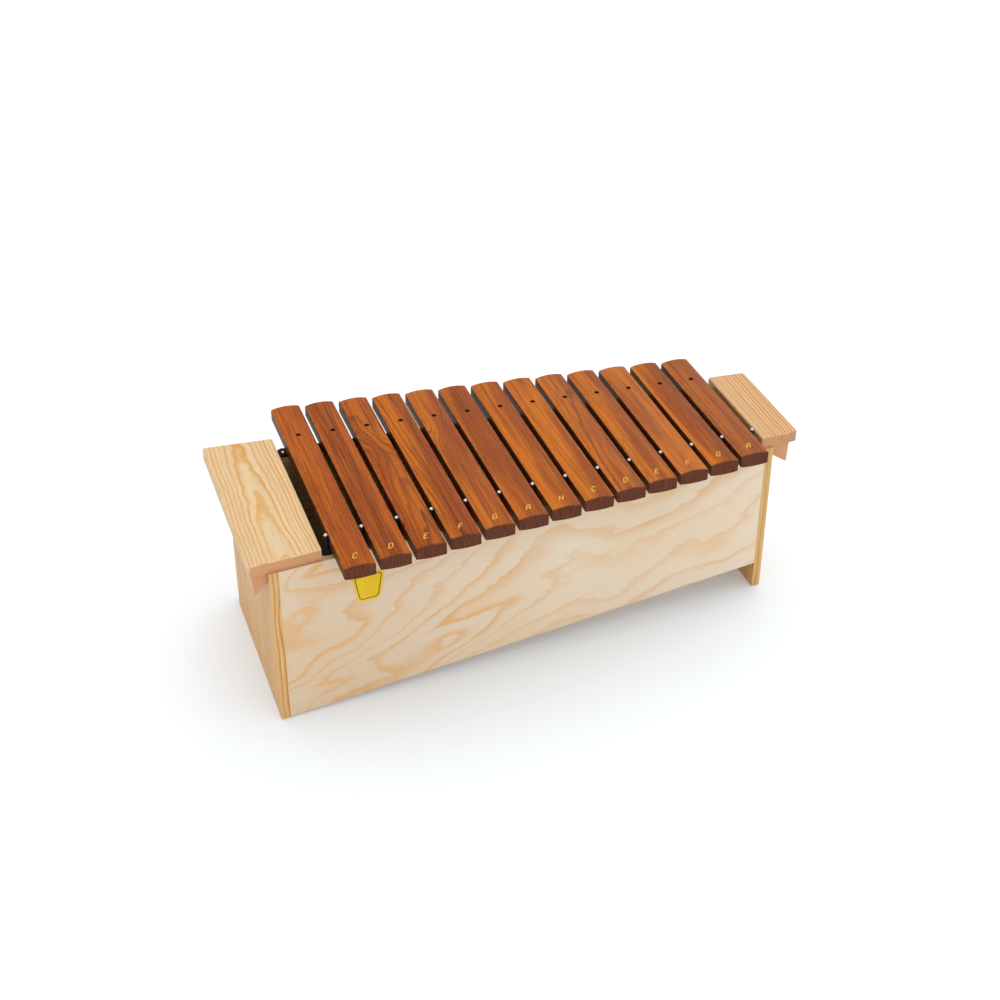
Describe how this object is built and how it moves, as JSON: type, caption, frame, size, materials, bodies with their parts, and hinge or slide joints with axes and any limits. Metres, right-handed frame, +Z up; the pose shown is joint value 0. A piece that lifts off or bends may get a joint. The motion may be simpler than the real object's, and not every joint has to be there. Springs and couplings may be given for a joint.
{
  "type": "xylophone",
  "caption": "Diatonic alto xylophone: wooden bars lying loose between guide pins on a tapered, open-topped pine resonator box with end caps.",
  "frame": {"origin": "on the floor under the middle of the outline", "axes": "+X from the low notes to the high notes, +Y from the player's side to the far side, +Z up"},
  "size_m": [0.7465, 0.3758, 0.2505],
  "materials": {
    "bar_wood": "oiled dark red-brown hardwood",
    "board_pine": "clear lacquered pine",
    "panel_ply": "clear lacquered softwood plywood",
    "cap_pine": "clear lacquered pine",
    "cushion_rubber": "matt black",
    "pin_steel": "bright",
    "sleeve_rubber": "satin black",
    "tack_copper": "copper coloured, dull",
    "label_yellow": "printed yellow, blank"
  },
  "bodies": {
    "resonator_box": {"end_board_left": "board_pine", "end_board_right": "board_pine", "front_panel": "panel_ply", "front_rail": "board_pine", "back_wall": "board_pine", "bottom_panel": "panel_ply", "cap_left": "cap_pine", "cap_right": "cap_pine", "grip_rail_left": "cap_pine", "grip_rail_right": "cap_pine", "front_cushion": "cushion_rubber", "rear_cushion": "cushion_rubber", "front_pins": "pin_steel", "front_pin_sleeves": "sleeve_rubber", "rear_pins": "pin_steel", "rear_pin_sleeves": "sleeve_rubber", "cushion_tacks": "tack_copper", "label_plate": "label_yellow"},
    "tone_c4": {"bar_c4": "bar_wood"},
    "tone_d4": {"bar_d4": "bar_wood"},
    "tone_e4": {"bar_e4": "bar_wood"},
    "tone_f4": {"bar_f4": "bar_wood"},
    "tone_g4": {"bar_g4": "bar_wood"},
    "tone_a4": {"bar_a4": "bar_wood"},
    "tone_b4": {"bar_b4": "bar_wood"},
    "tone_c5": {"bar_c5": "bar_wood"},
    "tone_d5": {"bar_d5": "bar_wood"},
    "tone_e5": {"bar_e5": "bar_wood"},
    "tone_f5": {"bar_f5": "bar_wood"},
    "tone_g5": {"bar_g5": "bar_wood"},
    "tone_a5": {"bar_a5": "bar_wood"}
  },
  "joints": [
    {"name": "lift_c4", "type": "slide", "parent": "resonator_box", "child": "tone_c4", "axis": [0, 0, 1], "range_m": [0, 0.06]},
    {"name": "lift_d4", "type": "slide", "parent": "resonator_box", "child": "tone_d4", "axis": [0, 0, 1], "range_m": [0, 0.06]},
    {"name": "lift_e4", "type": "slide", "parent": "resonator_box", "child": "tone_e4", "axis": [0, 0, 1], "range_m": [0, 0.06]},
    {"name": "lift_f4", "type": "slide", "parent": "resonator_box", "child": "tone_f4", "axis": [0, 0, 1], "range_m": [0, 0.06]},
    {"name": "lift_g4", "type": "slide", "parent": "resonator_box", "child": "tone_g4", "axis": [0, 0, 1], "range_m": [0, 0.06]},
    {"name": "lift_a4", "type": "slide", "parent": "resonator_box", "child": "tone_a4", "axis": [0, 0, 1], "range_m": [0, 0.06]},
    {"name": "lift_b4", "type": "slide", "parent": "resonator_box", "child": "tone_b4", "axis": [0, 0, 1], "range_m": [0, 0.06]},
    {"name": "lift_c5", "type": "slide", "parent": "resonator_box", "child": "tone_c5", "axis": [0, 0, 1], "range_m": [0, 0.06]},
    {"name": "lift_d5", "type": "slide", "parent": "resonator_box", "child": "tone_d5", "axis": [0, 0, 1], "range_m": [0, 0.06]},
    {"name": "lift_e5", "type": "slide", "parent": "resonator_box", "child": "tone_e5", "axis": [0, 0, 1], "range_m": [0, 0.06]},
    {"name": "lift_f5", "type": "slide", "parent": "resonator_box", "child": "tone_f5", "axis": [0, 0, 1], "range_m": [0, 0.06]},
    {"name": "lift_g5", "type": "slide", "parent": "resonator_box", "child": "tone_g5", "axis": [0, 0, 1], "range_m": [0, 0.06]},
    {"name": "lift_a5", "type": "slide", "parent": "resonator_box", "child": "tone_a5", "axis": [0, 0, 1], "range_m": [0, 0.06]}
  ]
}
